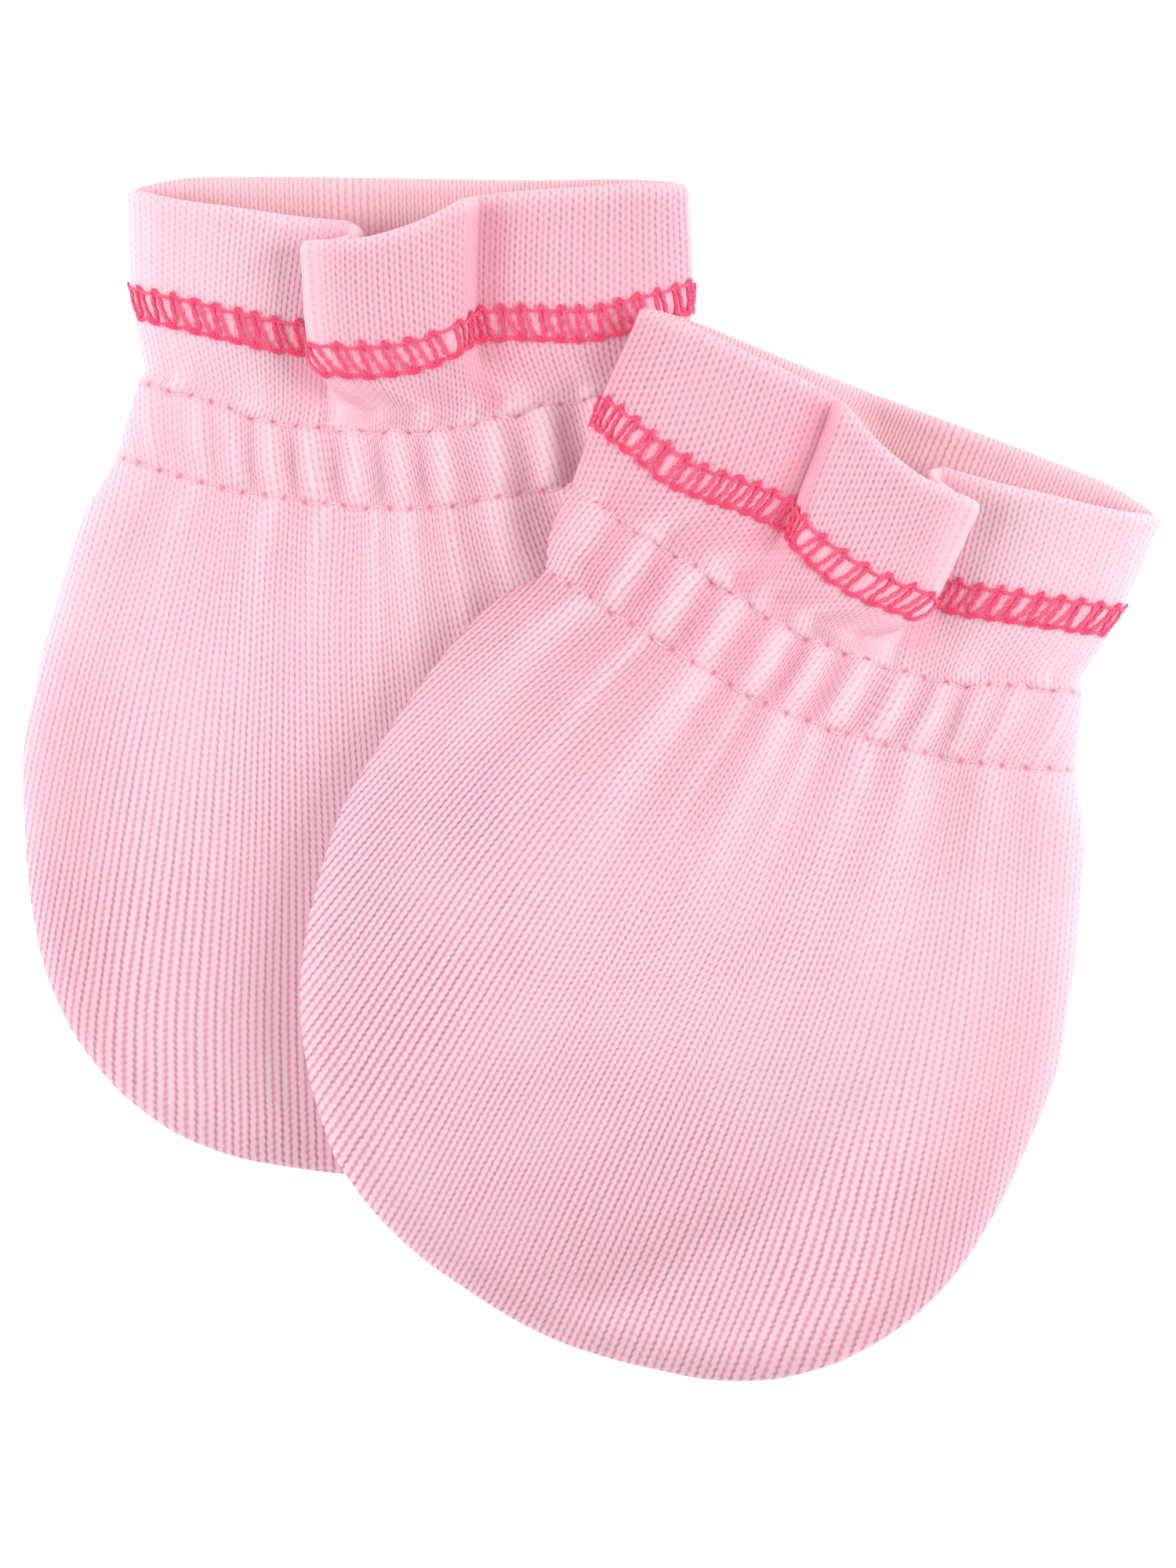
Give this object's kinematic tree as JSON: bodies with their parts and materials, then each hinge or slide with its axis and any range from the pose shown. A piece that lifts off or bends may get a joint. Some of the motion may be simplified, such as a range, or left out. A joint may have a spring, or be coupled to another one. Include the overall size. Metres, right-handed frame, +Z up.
{
  "type": "pair of baby mittens",
  "caption": "Soft knit baby mittens with turned cuffs, gathered elastic wrists and rounded pouches, laid flat and lapped over each other.",
  "frame": {"origin": "Middle of the pair's bounding box, on the surface that it lies on.", "axes": "+Z up from that surface, +Y from the fingertips to the cuff of the lower mitten, +X to its right."},
  "size_m": [0.128, 0.1356, 0.0179],
  "materials": {
    "front_knit": "matt cotton interlock",
    "back_knit": "matt cotton interlock",
    "hem_thread": "soft textured polyester thread",
    "elastic_thread": "polyester sewing thread"
  },
  "bodies": {
    "root": {"under_mitten_front": "front_knit", "under_mitten_back": "back_knit", "over_mitten_front": "front_knit", "over_mitten_back": "back_knit"}
  },
  "joints": []
}
